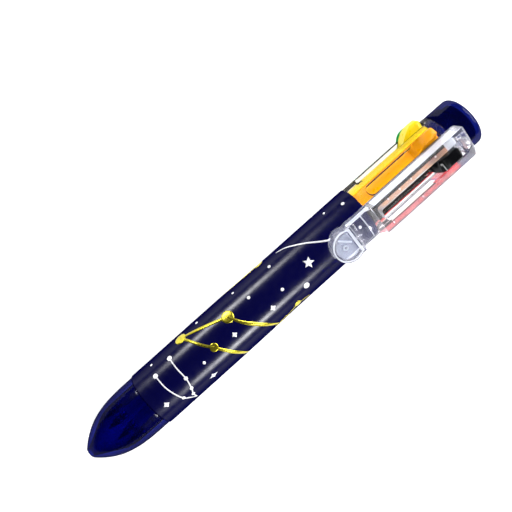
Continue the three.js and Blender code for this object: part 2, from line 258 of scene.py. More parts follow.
class Nodes:
    """Short hand for one material's node tree."""

    def __init__(self, name):
        self.material = bpy.data.materials.new(name)
        self.material.use_nodes = True
        self.tree = self.material.node_tree
        self.shader = self.tree.nodes["Principled BSDF"]
        self.out = self.tree.nodes["Material Output"]

    def add(self, kind, **inputs):
        node = self.tree.nodes.new(kind)
        for key, value in inputs.items():
            node.inputs[key.replace("_", " ")].default_value = value
        return node

    def link(self, source, target):
        self.tree.links.new(source, target)

    def noise(self, scale, detail, stretch=None):
        source = self.add("ShaderNodeTexCoord").outputs["Object"]
        if stretch:
            mapping = self.add("ShaderNodeMapping", Scale=stretch)
            self.link(source, mapping.inputs["Vector"])
            source = mapping.outputs["Vector"]
        texture = self.add("ShaderNodeTexNoise", Scale=scale, Detail=detail)
        self.link(source, texture.inputs["Vector"])
        return texture.outputs["Fac"]

    def spread(self, source, low, high):
        """Maps a texture's middle range to low..high."""
        start, end = NOISE_RANGE
        span = self.add("ShaderNodeMapRange", From_Min=start, From_Max=end, To_Min=low, To_Max=high)
        self.link(source, span.inputs["Value"])
        return span.outputs["Result"]

    def tint(self, source, dark, light):
        """A colour between two by a texture."""
        mix = self.add("ShaderNodeMix")
        mix.data_type = "RGBA"
        mix.inputs["A"].default_value = (*dark, 1)
        mix.inputs["B"].default_value = (*light, 1)
        self.link(source, mix.inputs["Factor"])
        return mix.outputs["Result"]

    def bump(self, source, strength, distance=0.00005):
        bump = self.add("ShaderNodeBump", Strength=strength, Distance=distance)
        self.link(source, bump.inputs["Height"])
        self.link(bump.outputs["Normal"], self.shader.inputs["Normal"])

    def mixed(self, share, first, second):
        """Two shaders mixed by a number or by another node's output."""
        mix = self.add("ShaderNodeMixShader")
        if isinstance(share, float):
            mix.inputs[0].default_value = share
        else:
            self.link(share, mix.inputs[0])
        self.link(first, mix.inputs[1])
        self.link(second, mix.inputs[2])
        return mix.outputs[0]

    def scaled(self, source, factor, offset):
        step = self.add("ShaderNodeMath")
        step.operation = "MULTIPLY_ADD"
        step.use_clamp = True
        self.link(source, step.inputs[0])
        if isinstance(factor, float):
            step.inputs[1].default_value = factor
        else:
            self.link(factor, step.inputs[1])
        step.inputs[2].default_value = offset
        return step.outputs[0]

    def facing(self):
        return self.add("ShaderNodeLayerWeight", Blend=0.5).outputs["Facing"]

    def glossed(self, surface, roughness, even, rim, power=4.0):
        """A clear gloss over a surface: an even share, and rim more (or less) where it turns away."""
        shine = self.add("ShaderNodeBsdfGlossy", Color=(1, 1, 1, 1))
        self.link(self.spread(self.noise(700, 4), *roughness), shine.inputs["Roughness"])
        bump = self.add("ShaderNodeBump", Strength=0.02, Distance=0.00003)
        self.link(self.noise(420, 3, stretch=(0.5, 1, 1)), bump.inputs["Height"])
        self.link(bump.outputs["Normal"], shine.inputs["Normal"])
        rise = self.add("ShaderNodeMath")
        rise.operation = "POWER"
        self.link(self.facing(), rise.inputs[0])
        rise.inputs[1].default_value = power
        return self.mixed(self.scaled(rise.outputs[0], rim, even), surface, shine.outputs[0])


def plastic_body(name, dark, light, roughness):
    """A material with faint flow in its colour and uneven gloss."""
    n = Nodes(name)
    flow = n.noise(*FLOW, FLOW_STRETCH)
    n.link(n.tint(flow, dark, light), n.shader.inputs["Base Color"])
    n.link(n.spread(n.noise(*GLOSS), *roughness), n.shader.inputs["Roughness"])
    return n


def moulded(name, dark, light, roughness, grain=0.15, ior=1.49):
    """Injection-moulded plastic with a fine skin."""
    n = plastic_body(name, dark, light, roughness)
    n.bump(n.noise(*SKIN), grain)
    n.shader.inputs["IOR"].default_value = ior
    return n.material


def lacquered(name, dark, light, roughness, even, rim):
    """Deep dark plastic under a smooth lacquer, whose gloss changes evenly towards the rim."""
    n = plastic_body(name, dark, light, roughness)
    n.shader.inputs["Specular IOR Level"].default_value = 0.0
    coated = n.glossed(n.shader.outputs[0], roughness, even, rim, power=1.0)
    n.link(coated, n.out.inputs["Surface"])
    return n.material


def see_through(
    name, tint, edge_tint, haze, shares, gloss, roughness=(0.04, 0.1), glow=0.5, ior=None, solid=False
):
    """Clear moulded plastic: see-through, hazier where the wall turns away, and glossy.

    shares are the haze's share face on and what the turned-away part adds; gloss is the same for the
    shine; glow is the share of the haze that passes light on from behind. A wall with an ior bends what is
    behind it, and a solid one also mirrors inside."""
    n = Nodes(name)
    colour = n.tint(n.facing(), tint, edge_tint)
    through = n.add("ShaderNodeBsdfTransparent")
    n.link(colour, through.inputs["Color"])
    inside = through.outputs[0]
    if ior:
        kind = "ShaderNodeBsdfGlass" if solid else "ShaderNodeBsdfRefraction"
        bent = n.add(kind, IOR=ior, Roughness=0.0)
        n.link(colour, bent.inputs["Color"])
        shadow = n.add("ShaderNodeLightPath").outputs["Is Shadow Ray"]
        inside = n.mixed(shadow, bent.outputs[0], inside)
    cloud = n.add("ShaderNodeBsdfDiffuse", Color=(*haze, 1))
    lit = n.add("ShaderNodeBsdfTranslucent", Color=(*haze, 1))
    body = n.mixed(glow, cloud.outputs[0], lit.outputs[0])
    even_share, edge_share = shares
    patches = n.spread(n.noise(260, 3), edge_share * 0.8, edge_share * 1.2)
    milky = n.mixed(n.scaled(n.facing(), patches, even_share), inside, body)
    n.link(n.glossed(milky, roughness, *gloss), n.out.inputs["Surface"])
    return n.material


def metal(name, dark, light, roughness, turned_marks=True):
    """Bare metal with fine turning marks."""
    n = Nodes(name)
    n.shader.inputs["Metallic"].default_value = 1.0
    n.link(n.tint(n.noise(1500, 4), dark, light), n.shader.inputs["Base Color"])
    n.link(n.spread(n.noise(2500, 4), *roughness), n.shader.inputs["Roughness"])
    stretch = (6, 1, 1) if turned_marks else None
    n.bump(n.noise(3000, 2, stretch=stretch), 0.2, 0.00002)
    return n.material


def foil(name, dark, light, metallic, roughness):
    """Hot-stamped foil: bright, slightly uneven, with pinholes in its gloss."""
    n = Nodes(name)
    n.shader.inputs["Metallic"].default_value = metallic
    n.link(n.tint(n.spread(n.noise(520, 4), 0, 1), dark, light), n.shader.inputs["Base Color"])
    n.link(n.spread(n.noise(2600, 5), *roughness), n.shader.inputs["Roughness"])
    n.bump(n.noise(1800, 4), 0.01, 0.00002)
    return n.material


SHADES = {
    "black": ((0.002, 0.002, 0.003), (0.004, 0.004, 0.005)),
    "red": ((0.62, 0.006, 0.012), (0.78, 0.012, 0.02)),
    "magenta": ((0.42, 0.008, 0.2), (0.52, 0.012, 0.26)),
    "blue": ((0.008, 0.045, 0.5), (0.012, 0.07, 0.62)),
    "brown": ((0.24, 0.1, 0.04), (0.32, 0.14, 0.06)),
    "green": ((0.008, 0.25, 0.05), (0.012, 0.34, 0.075)),
    "yellow": ((0.86, 0.66, 0.0), (0.94, 0.78, 0.004)),
    "orange": ((0.96, 0.33, 0.0), (1.0, 0.4, 0.0)),
}

navy = lacquered("navy_barrel", (0.0004, 0.0004, 0.03), (0.0008, 0.0008, 0.042), (0.2, 0.27), 0.032, -0.045)
navy_clear = see_through(
    "navy_see_through", (0.14, 0.18, 0.66), (0.001, 0.003, 0.08), (0.0004, 0.002, 0.2), (0.12, -0.1),
    (0.008, 0.01), (0.12, 0.2)
)
navy_cap = see_through(
    "navy_cap", (0.12, 0.16, 0.56), (0.02, 0.04, 0.26), (0.0008, 0.003, 0.08), (0.25, 0.35),
    (0.015, 0.04), (0.06, 0.12)
)
clear = see_through(
    "clear_plastic", (0.95, 0.92, 0.88), (0.8, 0.78, 0.76), (0.8, 0.8, 0.84), (0.004, 0.06),
    (0.012, 0.09), ior=1.42
)
clip_clear = see_through(
    "clip_plastic", (0.99, 0.99, 0.995), (0.97, 0.97, 0.99), (0.92, 0.94, 1.0), (0.04, 0.22),
    (0.01, 0.05), (0.1, 0.16), glow=0.6, ior=1.3, solid=True
)
# Whitish hazes for thin sheets and ridges inside the clear clip: painted highlight, standing in for the
# glow that refraction and internal reflection of lamp and table light give clear plastic
pad_glint_haze = see_through(
    "clip_pad_painted_glint", (0.98, 0.98, 1.0), (0.9, 0.9, 0.96), (0.8, 0.87, 1.0), (0.25, 0.1),
    (0.02, 0.05), (0.15, 0.25)
)
clip_glint_haze = see_through(
    "clip_wall_painted_glint", (0.99, 0.99, 1.0), (0.95, 0.95, 0.98), (0.92, 0.95, 1.0), (0.5, 0.2),
    (0.035, 0.1), (0.1, 0.2)
)
white = moulded("white_plastic", (0.72, 0.72, 0.7), (0.8, 0.8, 0.78), (0.35, 0.5))
steel = metal("spring_steel", (0.42, 0.43, 0.45), (0.55, 0.56, 0.58), (0.22, 0.38), False)
nickel = metal("tip_metal", (0.5, 0.49, 0.47), (0.66, 0.65, 0.62), (0.16, 0.3))
gold = foil("gold_foil", (0.56, 0.48, 0.03), (0.6, 0.52, 0.05), 0.92, (0.26, 0.31))
silver = foil("silver_foil", (0.88, 0.88, 0.92), (0.96, 0.96, 1.0), 0.15, (0.25, 0.4))
slider_finish = {c: moulded(f"slider_{c}", *SHADES[c], (0.26, 0.4), grain=0.1) for c in COLOURS}
slider_finish["black"] = moulded("slider_black", *SHADES["black"], (0.14, 0.2), grain=0.02, ior=1.36)


def ink_finish(colour):
    """A thin polypropylene tube full of ink."""
    dark, light = SHADES[colour]
    milky = tuple(0.75 * v + 0.12 for v in light)
    return moulded(f"ink_{colour}", dark, milky, (0.3, 0.42), grain=0.05)


# Camera and light
def aim(thing, target, across):
    """Points a lamp or camera's -Z at target with its X along across as far as it can."""
    back = (thing.location - target).normalized()
    right = (across - across.dot(back) * back).normalized()
    up = back.cross(right)
    thing.rotation_euler = Matrix((right, up, back)).transposed().to_euler()


def on_axis(station):
    return PEN @ Vector((station, 0, 0))


CAMERA_HEIGHT = 0.1795
CAMERA_STATION, AIM_STATION, SIDESTEP = 60.1, 69.2, 0.0101
SENSOR_WIDTH, FOCAL_LENGTH = 36, 45.7
IMAGE_ROLL = math.radians(41.7)
along = Vector((1, 0, 0))
across = Vector((0, 1, 0))
camera = bpy.data.objects.new("camera", bpy.data.cameras.new("camera"))
bpy.context.scene.collection.objects.link(camera)
bpy.context.scene.camera = camera
camera.data.sensor_width = SENSOR_WIDTH
camera.data.lens = FOCAL_LENGTH
camera.data.clip_start = 0.01
camera.location = on_axis(CAMERA_STATION) + across * SIDESTEP + Vector((0, 0, CAMERA_HEIGHT))
target = on_axis(AIM_STATION) + across * SIDESTEP
aim(camera, target, along * math.cos(IMAGE_ROLL) - across * math.sin(IMAGE_ROLL))


def lamp(name, station, offset, size, power, long_side):
    """A rectangular lamp at an offset from a station, aimed at it."""
    light = bpy.data.objects.new(name, bpy.data.lights.new(name, "AREA"))
    bpy.context.scene.collection.objects.link(light)
    light.data.shape = "RECTANGLE"
    light.data.size, light.data.size_y = size
    light.data.energy = power
    middle = on_axis(station)
    light.location = middle + offset
    aim(light, middle, long_side)


def softbox(name, station, direction, distance, size, power):
    """A lamp beside the pen, at an angle from straight up about the pen."""
    angle = math.radians(direction)
    offset = Vector((0, -math.sin(angle), math.cos(angle))) * distance
    lamp(name, station, offset, size, power, along)


softbox("softbox_right", 34, 61, 0.42, (0.24, 0.2), 0.14)
softbox("softbox_right_core", 36, 61, 0.4, (0.12, 0.09), 1.12)
softbox("softbox_left", 34, -66, 0.42, (0.24, 0.18), 0.08)
softbox("softbox_left_core", 34, -61, 0.4, (0.12, 0.09), 0.85)
# A low lamp beyond the cap, which whitens the table and never shows in the barrel
lamp("end_lamp_cap", PEN_LENGTH / 2, Vector((0.62, 0, 0.42)), (0.8, 0.3), 8, across)

bpy.context.scene.view_settings.view_transform = "Standard"
world = bpy.data.worlds.new("studio")
bpy.context.scene.world = world
world.use_nodes = True
background = world.node_tree.nodes["Background"]
background.inputs["Color"].default_value = (0.9, 0.94, 1.0, 1)
background.inputs["Strength"].default_value = 0.04


TABLE_REACH, TABLE_GLOW = 3.0, 0.55


def make_floor():
    bm = bmesh.new()
    bmesh.ops.create_grid(bm, x_segments=1, y_segments=1, size=TABLE_REACH)
    mesh = bpy.data.meshes.new("table")
    bm.to_mesh(mesh)
    bm.free()
    floor = bpy.data.objects.new("table", mesh)
    bpy.context.scene.collection.objects.link(floor)
    n = Nodes("table")
    n.link(n.tint(n.noise(3, 2), (0.93, 0.93, 0.93), (0.96, 0.96, 0.96)), n.shader.inputs["Base Color"])
    n.shader.inputs["Roughness"].default_value = 0.6
    n.shader.inputs["Emission Color"].default_value = (1, 1, 1, 1)
    n.shader.inputs["Emission Strength"].default_value = TABLE_GLOW
    floor.data.materials.append(n.material)


make_floor()


# Nose cone
def nose_outside(station):
    return NOSE_RADIUS - (NOSE_RADIUS - TIP_RADIUS) * (1 - station / NOSE_END) ** NOSE_FULLNESS


def nose_bore(station):
    wall = NOSE_WALL * min(1, MOUTH_WALL_SHARE + station / MOUTH_LENGTH)
    return min(TIP_HOLE + FUNNEL_SLOPE * station, nose_outside(station) - wall, NOSE_BORE)


def make_nose():
    steps, bore_steps, crowding = 40, 30, 1.5
    outside = [NOSE_END * (k / steps) ** crowding for k in range(steps + 1)]
    profile = [(s, nose_outside(s)) for s in outside]
    profile += [(NOSE_END, THREAD_RADIUS), (THREAD_END, THREAD_RADIUS)]
    bore = [THREAD_END] + [NOSE_END * k / bore_steps for k in range(bore_steps, -1, -1)]
    profile += [(s, nose_bore(min(s, NOSE_END))) for s in bore]
    finish_piece(
        loose(turned(profile)), "nose_shell", "nose", "nose_cone", navy_clear, 0.05
    )


# Barrel
def barrel_radius(station):
    """Full at the nose end, easing to the slimmer top between two stations."""
    t = min(max((station - EASE_START) / EASE_LENGTH, 0), 1)
    return BARREL_RADIUS - (BARREL_RADIUS - BARREL_TOP_RADIUS) * t * t * (3 - 2 * t)


def make_barrel():
    steps = 30
    stations = [BARREL_START + (BARREL_END - BARREL_START) * k / steps for k in range(steps + 1)]
    profile = [(s, barrel_radius(s)) for s in stations]
    profile += [
        (BARREL_END, BARREL_BORE), (SEAT_STOP_END, BARREL_BORE), (SEAT_STOP_END, SEAT_STOP_RADIUS),
        (SEAT_STOP_START, SEAT_STOP_RADIUS), (SEAT_STOP_START, BARREL_BORE), (BARREL_START, BARREL_BORE),
    ]
    finish_piece(
        loose(turned(profile, 128)), "barrel_shell", "casing", "barrel", navy, 0.2, 3
    )


# The barrel's print: thin foil wrapped round the barrel, drawn as (station, degrees from the clip's side)
PRINT_RADIUS, PRINT_TOP, PRINT_SINK = 8.1, 0.03, 0.02


def wrapped(station, across_mm, lift):
    angle = across_mm / PRINT_RADIUS
    r = barrel_radius(station) + lift
    return (station, -r * math.sin(angle), r * math.cos(angle))


def flat(station, degrees):
    """The print's flat plane: station and distance round the barrel."""
    return Vector((station, math.radians(degrees) * PRINT_RADIUS))


def add_patch(bm, outline):
    """Adds a filled shape to the print; every point of its outline can be seen from its middle."""
    middle = sum(outline, Vector((0, 0))) / len(outline)
    rows = []
    for share in (1, 0.75, 0.5, 0.25):
        spots = [middle + (point - middle) * share for point in outline]
        rows.append([bm.verts.new(wrapped(p.x, p.y, PRINT_TOP)) for p in spots])
    rows.insert(0, [bm.verts.new(wrapped(p.x, p.y, -PRINT_SINK)) for p in outline])
    top = bm.verts.new(wrapped(middle.x, middle.y, PRINT_TOP))
    count = len(outline)
    for low, high in zip(rows, rows[1:]):
        for k in range(count):
            n = (k + 1) % count
            bm.faces.new((low[k], low[n], high[n], high[k]))
    for k in range(count):
        bm.faces.new((rows[-1][k], rows[-1][(k + 1) % count], top))


def add_dot(bm, station, degrees, radius):
    middle = flat(station, degrees)
    turn = [2 * math.pi * k / 36 for k in range(36)]
    add_patch(bm, [middle + Vector((math.cos(a), math.sin(a))) * radius for a in turn])


def add_star(bm, station, degrees, radius, points, waist, twist=0.0, stretch=1.0):
    """A pointed star: waist is the share of the radius between two points."""
    middle = flat(station, degrees)
    outline = []
    for k in range(2 * points):
        a = math.radians(twist) + math.pi * k / points
        r = radius * (waist if k % 2 else 1)
        outline.append(middle + Vector((math.cos(a) * stretch, math.sin(a))) * r)
    add_patch(bm, outline)


def smooth_path(places, steps=14):
    """A curve through the places."""
    spots = [flat(*place) for place in places]
    spots = [2 * spots[0] - spots[1], *spots, 2 * spots[-1] - spots[-2]]
    out = []
    for a, b, c, d in zip(spots, spots[1:], spots[2:], spots[3:]):
        for k in range(steps):
            t = k / steps
            pull = 2 * b + (c - a) * t + (2 * a - 5 * b + 4 * c - d) * t**2 + (3 * b - a - 3 * c + d) * t**3
            out.append(pull / 2)
    out.append(spots[-2])
    return out


def add_line(bm, places, start, middle, end):
    """A curved line whose width runs from start through middle to end."""
    path = smooth_path(places)
    rows = []
    for k, spot in enumerate(path):
        before, after = path[max(k - 1, 0)], path[min(k + 1, len(path) - 1)]
        run = (after - before).normalized()
        out = Vector((-run.y, run.x))
        t = k / (len(path) - 1)
        ends = start if t < 0.5 else end
        width = ends + (middle - ends) * math.sin(math.pi * t) ** 0.7
        row = []
        for share, lift in ((0.5, -PRINT_SINK), (0.5, PRINT_TOP), (0, PRINT_TOP), (-0.5, PRINT_TOP),
                            (-0.5, -PRINT_SINK)):
            at = spot + out * width * share
            row.append(bm.verts.new(wrapped(at.x, at.y, lift)))
        rows.append(row)
    for low, high in zip(rows, rows[1:]):
        for k in range(4):
            bm.faces.new((low[k], low[k + 1], high[k + 1], high[k]))


def make_print():
    bright = bmesh.new()
    for station, degrees, radius in (
        (28.1, -52.6, 0.7), (29.7, 16.6, 0.48), (33.8, -61.3, 0.72), (33.8, -11.3, 0.55), (33.0, 11.6, 0.5),
        (32.2, 25.5, 0.5), (28.7, -80.7, 0.35), (40.1, -10, 0.43), (45.1, -86, 0.4), (57.7, -79.7, 0.36),
        (60.1, -45.8, 0.46), (68.2, -14.4, 0.48), (69.7, -67.2, 0.46), (73.8, 13.9, 0.85),
        (90.4, -77, 0.34), (95.7, -62.2, 0.5), (94.6, -4, 0.46), (36, 96, 0.7), (47, 118, 0.45),
        (58, 92, 0.5), (66, 150, 0.8), (80, 104, 0.45), (90, 140, 0.6), (41, 176, 0.5), (29, 140, 0.4),
        (54, 205, 0.7), (74, 222, 0.45), (31, 228, 0.6), (88, 250, 0.5), (62, 238, 0.4),
    ):
        add_dot(bright, station, degrees, radius)
    left = [(28.1, -52.6), (28.2, -27), (28.7, -7), (29.7, 16.6), (31, 29), (32.2, 42)]
    right = [(33.8, -61.3), (33.7, -36), (33.8, -11.3), (33, 11.6), (32.2, 25.5), (32.2, 42)]
    for branch in (left, right):
        add_line(bright, branch, 0.34, 0.36, 0.26)
    sweep = [(73.6, -85.8), (76, -78.4), (78.7, -63.9), (81.4, -49.6), (84.1, -34.4), (86.8, -21.7)]
    add_line(bright, sweep, 0.15, 0.42, 0.55)
    add_line(bright, [(36, 96), (42, 100), (47, 118), (54, 122), (66, 150)], 0.3, 0.42, 0.3)
    add_line(bright, [(54, 205), (60, 196), (70, 204), (74, 222)], 0.3, 0.42, 0.3)
    for station, degrees, radius in ((25.4, 2, 1.1), (50.9, -11.2, 1.0), (63.1, 0.7, 1.1), (70, 178, 1.1)):
        add_star(bright, station, degrees, radius * 0.85, 4, 0.6)
    add_star(bright, 39.4, 25.2, 0.85, 4, 0.5, 0, 1.6)
    add_star(bright, 86, 190, 1.7, 4, 0.3)
    add_star(bright, 78.1, -19.1, 1.65, 5, 0.45, 20)
    add_star(bright, 44, 236, 1.5, 5, 0.45, 40)
    warm = bmesh.new()
    for station, degrees, radius in (
        (39.1, -81, 1.7), (52.6, -45, 1.75), (44.7, -19.1, 1.2), (69.0, 38.5, 1.05), (60, 128, 1.5),
        (40, 150, 1.2), (78, 160, 1.3), (36, 202, 1.6), (68, 256, 1.4),
    ):
        add_dot(warm, station, degrees, radius)
    add_line(warm, [(39.1, -82.3), (45.6, -63.6), (52.6, -45)], 0.6, 0.95, 0.7)
    add_line(warm, [(52.6, -45), (54.5, -20), (57.3, 5), (59.7, 27), (61.8, 49.4)], 0.5, 1.05, 0.15)
    add_line(warm, [(61.8, 49.4), (65.6, 47), (69.0, 38.5), (73, 47)], 0.14, 0.35, 0.2)
    add_line(warm, [(39.1, -82.3), (42.4, -40), (44.7, -19.1)], 0.6, 0.8, 0.6)
    add_line(warm, [(44.7, -19.1), (47, 7.5), (48.8, 29), (50.5, 58)], 0.5, 1.0, 0.2)
    add_line(warm, [(40, 150), (50, 146), (60, 128), (70, 136), (78, 160)], 0.3, 0.6, 0.3)
    add_line(warm, [(36, 202), (46, 222), (56, 250), (68, 256)], 0.3, 0.6, 0.3)
    for number in range(7):
        ray = math.radians(38 * number)
        start, end = [
            (61.8 + reach * math.cos(ray), 49.4 + 7 * reach * math.sin(ray)) for reach in (0.5, 1.5)
        ]
        add_line(warm, [start, end], 0.16, 0.16, 0.06)
    finish_piece(loose(bright), "print_silver", "casing", None, silver)
    finish_piece(loose(warm), "print_gold", "casing", None, gold)


# Upper body
def make_upper_body():
    profile = [
        (SPIGOT_START, BODY_BORE), (SPIGOT_START, SPIGOT_RADIUS), (COLLAR, SPIGOT_RADIUS),
        (COLLAR, BODY_RADIUS), (BODY_END, BODY_TOP_RADIUS), (BODY_END, NECK_RADIUS),
        (NECK_END, NECK_RADIUS), (NECK_END, BODY_BORE),
    ]
    body = loose(turned(profile, 128))
    half = SLOT_WIDTH / 2
    outline = [(SLOT_END, -half), (SLOT_END, half)]
    outline += arc((SLOT_START + half, 0), half, 90, 270, 16)
    cutters = [loose(standing(outline, BODY_BORE / 2, BODY_RADIUS + 1), k) for k in range(len(COLOURS))]
    cut(body, *cutters)
    finish_piece(body, "clear_body", "casing", "upper_body", clear, 0.12, 2)


# Core post and spring seat
def make_core():
    wide = BAR_START + GUIDE_SETBACK
    shoulder = SEAT_TOP + SPRING_GAP
    profile = [
        (SEAT_BOTTOM, 0), (SEAT_BOTTOM, POST_FOOT), (shoulder, POST_FOOT), (shoulder, POST_RADIUS),
        (wide, POST_RADIUS), (wide, POST_GUIDE), (FLANGE_START, POST_GUIDE), (FLANGE_START, POST_FLANGE),
        (BODY_END, POST_FLANGE), (BODY_END, 0),
    ]
    core = loose(turned(profile, 64, closed=False))
    fin_root, fin_edge = POST_RADIUS - 0.1, BAR_STEP - FIN_GAP
    between = [k + 0.5 for k in range(len(COLOURS))]
    fins = [loose(block(wide, FIN_END, FIN_WIDTH, fin_root, fin_edge), place) for place in between]
    join(core, *fins)
    finish_piece(core, "core", "casing", "core_post", white, 0.08, 2)


def make_seat():
    profile = [(SEAT_BOTTOM, 0), (SEAT_BOTTOM, SEAT_RADIUS), (SEAT_TOP, SEAT_RADIUS), (SEAT_TOP, 0)]
    seat = loose(turned(profile, 96, closed=False))
    below, above = SEAT_BOTTOM - 1.1, SEAT_TOP + 1
    holes = [loose(peg(below, above, TUBE_RADIUS + 0.15, REFILL_RING), k) for k in range(len(COLOURS))]
    holes.append(loose(peg(below, above, POST_FOOT + 0.1, 0)))
    cut(seat, *holes)
    finish_piece(seat, "seat_disc", "casing", "spring_seat", white, 0.1, 2)


# Cap: smooth outside, finely ribbed inside its skirt
def make_cap():
    end = PEN_LENGTH
    rounding, top, draft, rows = 1.5, 1.4, 0.012, 4
    run = end - rounding - 0.1 - CAP_START
    profile = [(CAP_START + run * k / rows, CAP_RADIUS - draft * k) for k in range(rows + 1)]
    profile += arc((end - rounding, CAP_RADIUS - rounding - 0.05), rounding, 80, 0, 8)
    profile.append((end, 0))
    pocket, floor = 5.8, NECK_END + 0.4
    inner = [(end - top, 0), (end - top, pocket), (floor, pocket), (floor, CAP_BORE), (CAP_START, CAP_BORE)]
    ribs, rib_depth = 40, 0.3
    ribbed = {len(profile) + 1, len(profile) + 2}

    def wave(number, angle):
        return rib_depth * (0.5 + 0.5 * math.cos(ribs * angle)) if number in ribbed else 0.0

    cap = loose(turned(profile + inner, 240, wave=wave))
    cut(cap, loose(block(CLIP_END - 2.6, CLIP_END - 0.3, 3.6, CAP_BORE - 0.3, CAP_RADIUS + 1)))
    finish_piece(cap, "cap_shell", "casing", "end_cap", navy_cap, 0.08, 2)


# Clip: a deep windowed arm, a neck curved round the barrel, a slanted ridge and a round dished pad
CLIP_HALF = CLIP_WIDTH / 2
PAD_MIDDLE = PAD_START + PAD_RADIUS
CLEAR_OF_CLIP = CLIP_TOP + 2
# Stands a turned shape up: its axis becomes the height
UPRIGHT = Matrix(((0, 0, 1, 0), (0, 1, 0, 0), (1, 0, 0, 0), (0, 0, 0, 1)))


def clip_side():
    """The side view: pad, ridge, arm and rounded root."""
    pad_corner, root_corner = 0.8, 2.6
    side = [(PAD_START, SADDLE)]
    side += arc((PAD_START + pad_corner, PAD_TOP - pad_corner), pad_corner, 180, 90, 5)
    side += [(RIDGE_END, PAD_TOP), (RIDGE_END + 0.2, CLIP_TOP), (CLIP_END - root_corner, CLIP_TOP)]
    side += arc((CLIP_END - root_corner, CLIP_TOP - root_corner), root_corner, 90, 20, 8)[1:]
    side += [(CLIP_END, CLIP_FLOOR), (BOX_START, CLIP_FLOOR), (BOX_START - 0.6, CLIP_FLOOR - 0.6)]
    side.append((PAD_START + 1, CLIP_FLOOR - 0.6))
    return side


def clip_plan():
    """Seen from above: round pad, slight waist, straight arm and a root with one corner cut off."""
    chamfer, corner, arm_start, waist_length, waist_depth, steps = 1.7, 1.6, BOX_START + 1, 8.6, 0.25, 12
    plan = arc((CLIP_END - corner, CLIP_HALF - corner), corner, 0, 90, 6) + [(arm_start, CLIP_HALF)]
    waist = []
    for k in range(1, steps):
        pull = waist_depth * math.sin(math.pi * k / steps)
        waist.append((arm_start - waist_length * k / steps, CLIP_HALF - pull))
    plan += waist
    plan += arc((PAD_MIDDLE, 0), PAD_RADIUS, 65, 295, 32)
    plan += [(station, -y) for station, y in reversed(waist)]
    plan += [(arm_start, -CLIP_HALF), (CLIP_END - chamfer, -CLIP_HALF), (CLIP_END, chamfer - CLIP_HALF)]
    return plan


def clip_envelope():
    """The radius that the clip stays within, lowest at the neck."""
    return [
        (PAD_START - 1, 0), (PAD_START - 1, CLEAR_OF_CLIP), (RIDGE_END - 0.2, CLEAR_OF_CLIP),
        (RIDGE_END + 0.3, 10.7), (RIDGE_END + 0.9, 10.1), (93.6, 9.75), (94.6, NECK_TOP),
        (95.8, NECK_TOP), (96.8, 9.75), (97.8, 10.2), (98.5, 10.9), (BOX_START, 11.7),
        (BOX_START + 0.15, CLEAR_OF_CLIP), (CLIP_END + 1, CLEAR_OF_CLIP), (CLIP_END + 1, 0),
    ]


def clip_hollows():
    """What is cut from the clip: the barrel's place, the pad's dish, the window and the root's recesses."""
    step = WINDOW_END - 0.6
    saddle = [
        (80, 0), (80, SADDLE), (step, SADDLE), (step, ROOT_SADDLE), (CLIP_END + 1, ROOT_SADDLE),
        (CLIP_END + 1, 0),
    ]
    dish = arc((PAD_MIDDLE, 0), PAD_RADIUS - 0.9, 58, 302, 32)
    dish += [(RIDGE_START + 0.6, -3.3), (RIDGE_START - 0.5, 3.3)]
    corner, half = 0.9, WINDOW_WIDTH / 2
    window = [(WINDOW_END, half), (WINDOW_END, -half)]
    window += arc((WINDOW_START + corner, corner - half), corner, 270, 180, 6)
    window += arc((WINDOW_START + corner, half - corner), corner, 180, 90, 6)
    return [
        loose(turned(saddle, 128, closed=False)),
        loose(standing(dish, PAD_TOP - 0.9, CLEAR_OF_CLIP)),
        loose(standing(window, 0, CLEAR_OF_CLIP)),
        loose(block(128.3, 129.7, 1.0, CLIP_TOP - 0.9, CLEAR_OF_CLIP, 2.7)),
        loose(block(127.0, 127.9, 0.7, CLIP_TOP - 0.5, CLEAR_OF_CLIP, 3.3)),
        loose(standing(arc((129.5, 0), 1.7, -90, 90, 14), 9.6, CLEAR_OF_CLIP)),
    ]


def neck_strip(profile, width):
    """A strip along the upper edge of the neck, following a turned profile."""
    strip = loose(turned(profile, 128))
    return combine(strip, "INTERSECT", loose(block(91, 99.5, width, 5, CLEAR_OF_CLIP, CLIP_HALF - 0.55)))


def clip_crease():
    """The fine raised line across the neck."""
    low, high = NECK_TOP + 0.05, NECK_TOP + 0.12
    crease = loose(turned([(96.15, 9.2), (96.15, low), (96.3, high), (96.4, low), (96.4, 9.2)], 128))
    return combine(crease, "INTERSECT", loose(block(95, 97, CLIP_WIDTH - 1.2, 5, CLEAR_OF_CLIP)))


def clip_marks():
    """The pad's ring mark and rib, and the small pips along the arm."""
    ring_mark = turned([(10.2, 0.35), (10.75, 0.4), (10.75, 0.72), (10.2, 0.78)], 32)
    ring_mark.transform(Matrix.Translation((PAD_MIDDLE - 0.9, 0, 0)) @ UPRIGHT)
    rib = slab([(-1.9, 10.1), (1.9, 10.1), (1.9, 10.7), (-1.9, 10.7)], 0.35)
    rib.transform(Matrix.Translation((PAD_MIDDLE, 1.5, 0)) @ Matrix.Rotation(math.radians(-44), 4, "Z"))
    marks = [ring_mark, rib]
    sideways = 3.1
    below, above = CLIP_TOP - 0.2, CLIP_TOP + 0.08
    for side, stations in ((1, (104.2, 108.2, 112.2, 120.9)), (-1, (101.9, 112.2))):
        for station in stations:
            pip = turned([(below, 0), (below, 0.28), (above, 0.22), (above, 0)], 20, closed=False)
            pip.transform(Matrix.Translation((station, side * sideways, 0)) @ UPRIGHT)
            marks.append(pip)
    return [loose(mark) for mark in marks]


